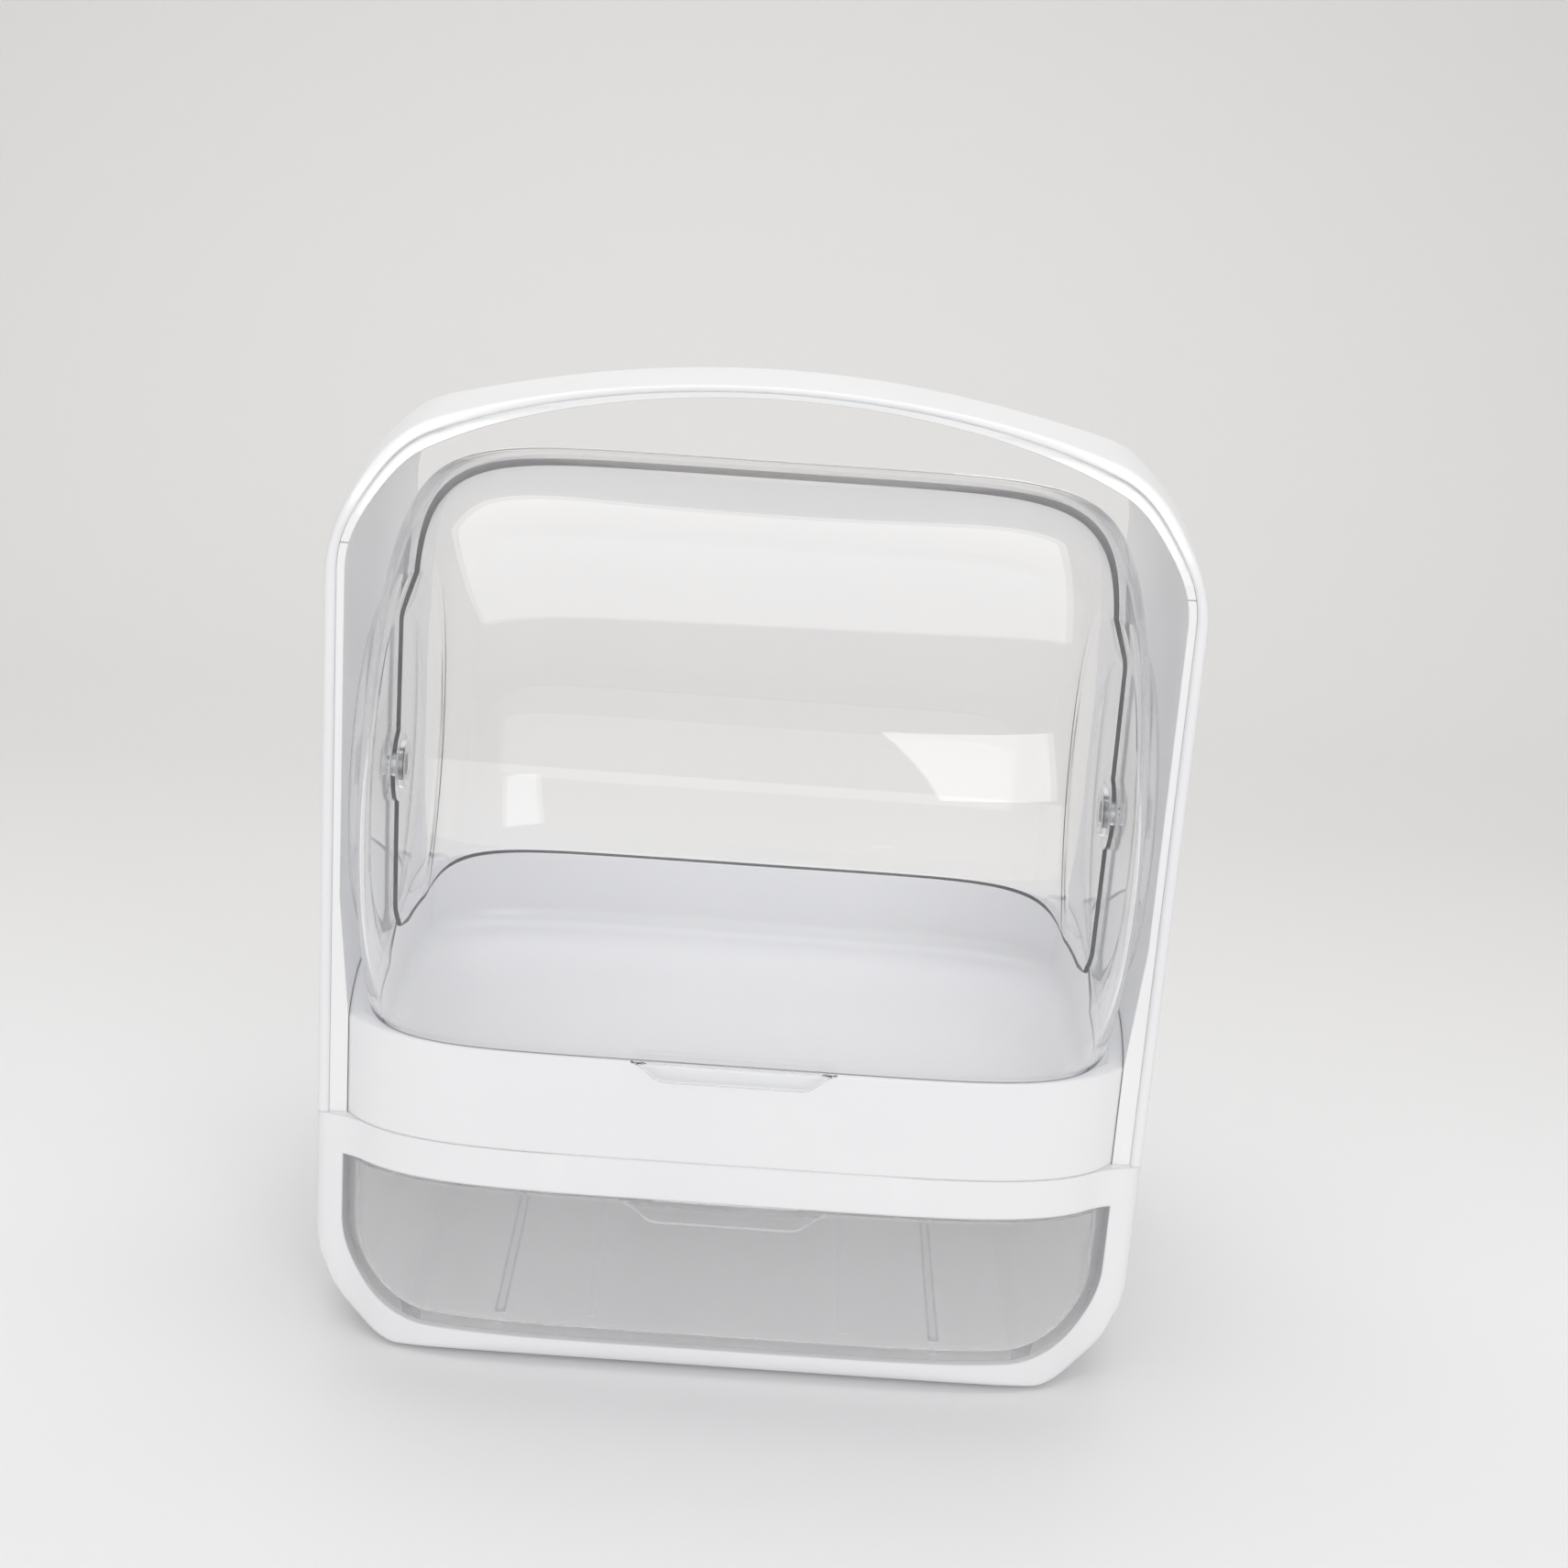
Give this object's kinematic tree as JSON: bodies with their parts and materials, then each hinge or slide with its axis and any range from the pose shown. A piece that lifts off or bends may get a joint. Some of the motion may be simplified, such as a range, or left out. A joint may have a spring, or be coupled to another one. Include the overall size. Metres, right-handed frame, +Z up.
{
  "type": "dustproof makeup organizer",
  "caption": "Countertop makeup organizer: white carry frame with an arched handle, open tray under clear swing-up hoods, and a clear pull-out drawer in the base.",
  "frame": {"origin": "centre of the base on the surface it stands on", "axes": "+Z up, the drawer and its finger tab face -Y, +X to the viewer's right"},
  "size_m": [0.3, 0.239, 0.338],
  "materials": {
    "white_shell": "semi-gloss moulded ABS",
    "white_liner": "satin moulded ABS",
    "clear_hood": "clear polished PET",
    "clear_drawer": "clear polished PET",
    "clear_cap": "clear moulded plastic",
    "steel": "zinc plated",
    "washer_plastic": "natural acetal",
    "runner_plastic": "low-friction strip",
    "foot_rubber": "grey non-slip pad"
  },
  "bodies": {
    "root": {"lower_housing": "white_shell", "tray": "white_shell", "carry_frame": "white_shell", "left_side_liner": "white_liner", "right_side_liner": "white_liner", "handle_liner": "white_liner", "left_pivot_pin": "steel", "right_pivot_pin": "steel", "left_pivot_washers": "washer_plastic", "right_pivot_washers": "washer_plastic", "left_pivot_cap": "clear_cap", "right_pivot_cap": "clear_cap", "left_drawer_runner": "runner_plastic", "right_drawer_runner": "runner_plastic", "drawer_stop_pins": "steel", "frame_screws": "steel", "tray_screws": "steel", "front_left_foot": "foot_rubber", "front_right_foot": "foot_rubber", "rear_left_foot": "foot_rubber", "rear_right_foot": "foot_rubber"},
    "front_hood": {"front_hood": "clear_hood"},
    "rear_hood": {"rear_hood": "clear_hood"},
    "drawer": {"drawer": "clear_drawer"}
  },
  "joints": [
    {"name": "front_hood_swing", "type": "hinge", "parent": "root", "child": "front_hood", "pos_m": [0, 0, 0.18701], "axis": [1, 0, 0], "range_deg": [-95, 0]},
    {"name": "rear_hood_swing", "type": "hinge", "parent": "root", "child": "rear_hood", "pos_m": [0, 0, 0.18701], "axis": [1, 0, 0], "range_deg": [0, 95]},
    {"name": "drawer_slide", "type": "slide", "parent": "root", "child": "drawer", "axis": [0, -1, 0], "range_m": [0, 0.14]}
  ]
}
